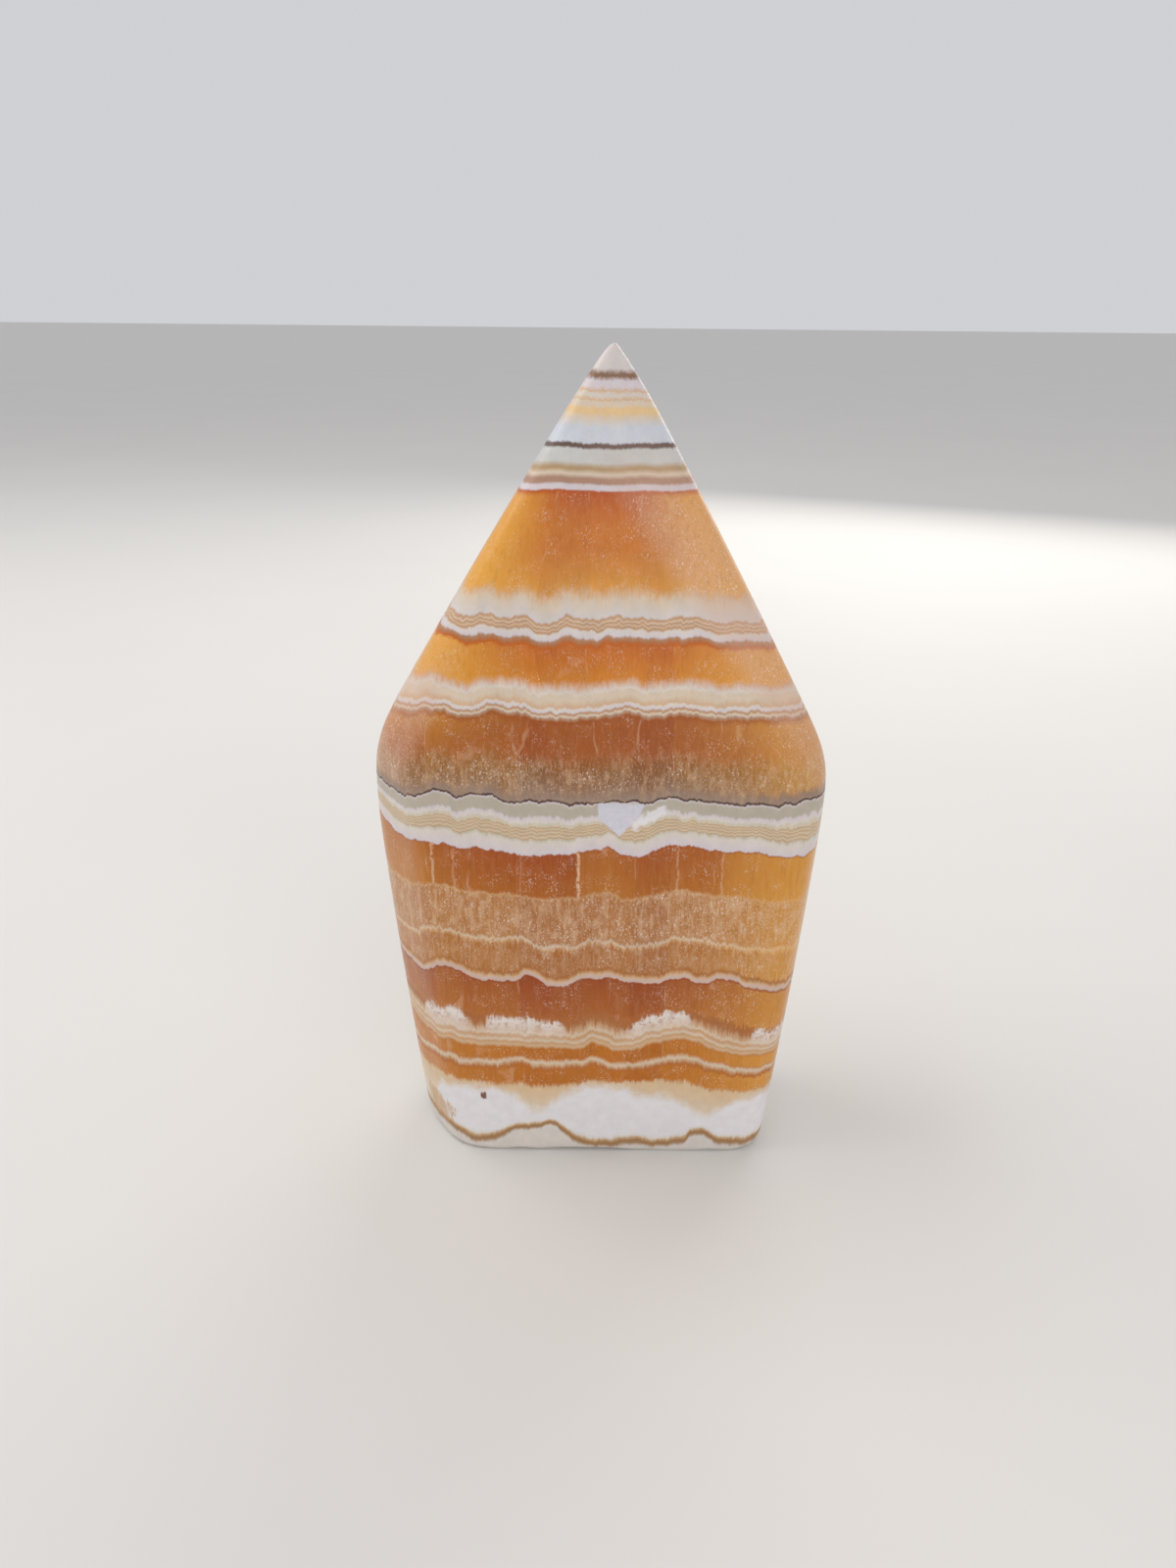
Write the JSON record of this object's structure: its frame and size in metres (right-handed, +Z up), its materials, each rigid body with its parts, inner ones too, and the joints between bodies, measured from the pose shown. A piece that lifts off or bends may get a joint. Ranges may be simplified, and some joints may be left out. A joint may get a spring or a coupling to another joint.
{
  "type": "orange calcite freeform",
  "caption": "Banded orange calcite ground and polished to a pointed freeform that stands on its own flat base.",
  "frame": {"origin": "centre of the bounding box at the flat base, on the surface that the stone stands on", "axes": "+Z up through the point, which is the longest extent, +Y from the front to the back through the stone's thickness, the shortest extent, +X to the right seen from the front"},
  "size_m": [0.0774, 0.0364, 0.1419],
  "materials": {
    "banded_calcite": "polished orange calcite with white, cream, tan and brown bands, frosty along its bevels"
  },
  "bodies": {
    "root": {"calcite_freeform": "banded_calcite"}
  },
  "joints": []
}
